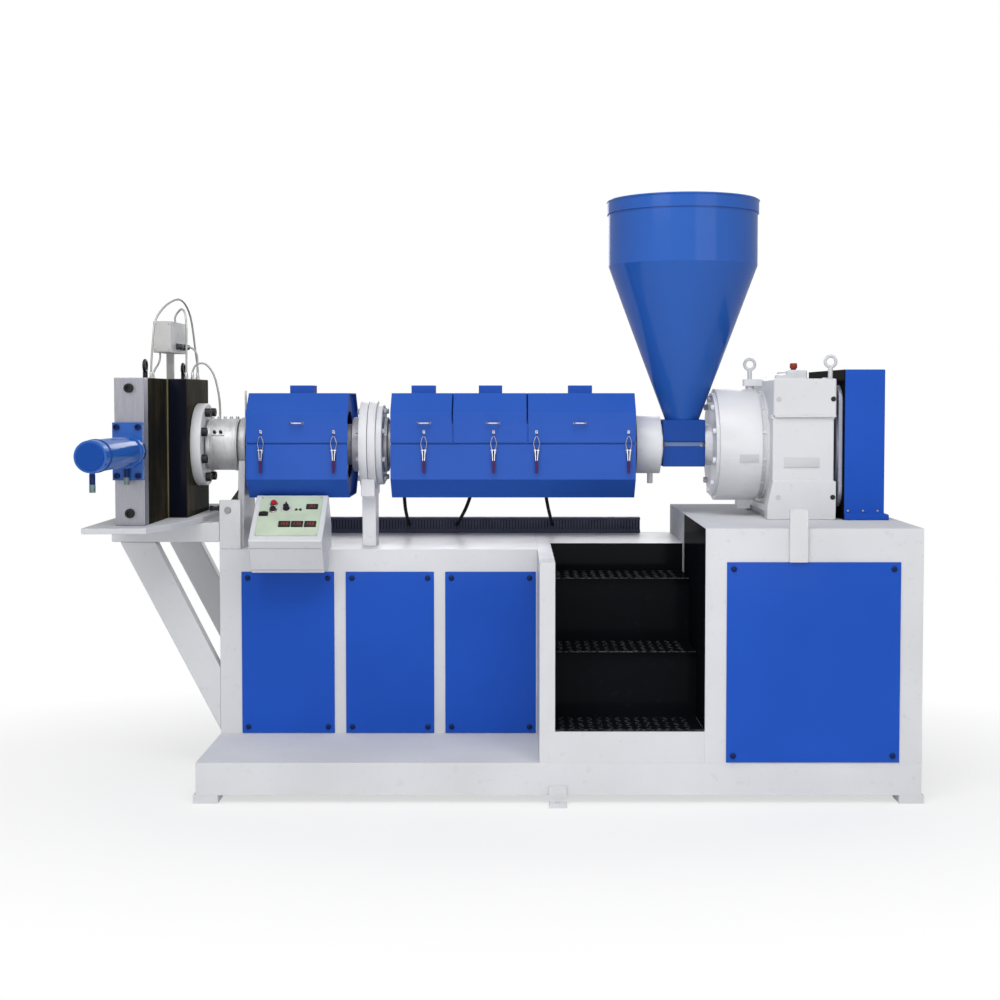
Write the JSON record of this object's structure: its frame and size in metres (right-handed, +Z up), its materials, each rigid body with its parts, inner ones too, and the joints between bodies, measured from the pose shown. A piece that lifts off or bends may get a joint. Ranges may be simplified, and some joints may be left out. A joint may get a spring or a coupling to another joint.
{
  "type": "plastic pelletizing extruder",
  "caption": "Floor-standing single-screw plastic extruder with feed hopper, hinged barrel covers, screen changer, gearbox, stair and panelled base cabinets",
  "frame": {"origin": "On the floor, under the middle of the machine's overall length and depth", "axes": "+X along the machine from the screen changer to the drive, +Y from the operator's side to the back, +Z up"},
  "size_m": [2.977, 1.68, 2.188],
  "materials": {
    "white_paint": "semi-gloss grey-white paint",
    "blue_paint": "semi-gloss strong blue paint",
    "black_paint": "satin black paint on chequer plate and sheet",
    "duct_plastic": "dark grey slotted plastic duct",
    "dark_steel": "oiled black steel",
    "ground_steel": "ground steel",
    "barrel_steel": "turned steel",
    "band_steel": "thin bright sheet",
    "chrome": "bright plating",
    "eye_steel": "forged steel, painted or blackened",
    "fascia": "pale green printed sheet, bare of words",
    "box_plastic": "light grey moulded box",
    "conduit": "braided steel sleeve",
    "cable_rubber": "black cable sheath"
  },
  "bodies": {
    "machine": {"base_frame": "white_paint", "floor_feet": "white_paint", "panel_cabinet": "white_paint", "front_panels": "blue_paint", "rear_panels": "blue_paint", "motor_cabinet": "white_paint", "stair_cabinet": "white_paint", "stair_sill": "white_paint", "stair_jamb": "white_paint", "stair_risers": "black_paint", "stair_side_sheets": "black_paint", "stair_treads": "black_paint", "cable_duct": "duct_plastic", "shelf_plate": "white_paint", "shelf_beams": "white_paint", "shelf_braces": "white_paint", "shelf_bracket": "white_paint", "barrel_support": "white_paint", "changer_housing": "dark_steel", "changer_inlet_block": "dark_steel", "changer_end_plates": "ground_steel", "die_flange": "ground_steel", "hydraulic_cylinder": "blue_paint", "inlet_flange": "white_paint", "adapter": "barrel_steel", "barrel": "barrel_steel", "heater_bands": "band_steel", "cover_saddles": "barrel_steel", "cover_tray_1": "blue_paint", "cover_tray_2": "blue_paint", "latches": "chrome", "barrel_flanges": "white_paint", "barrel_post": "white_paint", "feed_collar": "white_paint", "feed_throat": "blue_paint", "throat_spacer": "ground_steel", "hopper": "blue_paint", "gearbox_bell": "white_paint", "gearbox_body": "white_paint", "gearbox_cap": "white_paint", "drive_plate": "ground_steel", "belt_guard": "blue_paint", "guard_back": "black_paint", "gearbox_eyes": "white_paint", "changer_eyes": "eye_steel", "control_box": "white_paint", "control_fascia": "fascia", "junction_box": "box_plastic", "conduits": "conduit", "heater_leads": "cable_rubber", "drain_strip": "white_paint"},
    "lid_1_body": {"lid_1": "blue_paint", "lid_1_handle": "chrome"},
    "lid_2_body": {"lid_2": "blue_paint", "lid_2_handle": "chrome"},
    "lid_3_body": {"lid_3": "blue_paint", "lid_3_handle": "chrome"},
    "lid_4_body": {"lid_4": "blue_paint", "lid_4_handle": "chrome"}
  },
  "joints": [
    {"name": "lid_1_hinge", "type": "hinge", "parent": "machine", "child": "lid_1_body", "pos_m": [-0.7775, 0.432, 1.255], "axis": [-1, 0, 0], "range_deg": [0, 95]},
    {"name": "lid_2_hinge", "type": "hinge", "parent": "machine", "child": "lid_2_body", "pos_m": [-0.3075, 0.432, 1.255], "axis": [-1, 0, 0], "range_deg": [0, 95]},
    {"name": "lid_3_hinge", "type": "hinge", "parent": "machine", "child": "lid_3_body", "pos_m": [-0.047, 0.432, 1.255], "axis": [-1, 0, 0], "range_deg": [0, 95]},
    {"name": "lid_4_hinge", "type": "hinge", "parent": "machine", "child": "lid_4_body", "pos_m": [0.3015, 0.432, 1.255], "axis": [-1, 0, 0], "range_deg": [0, 95]}
  ]
}
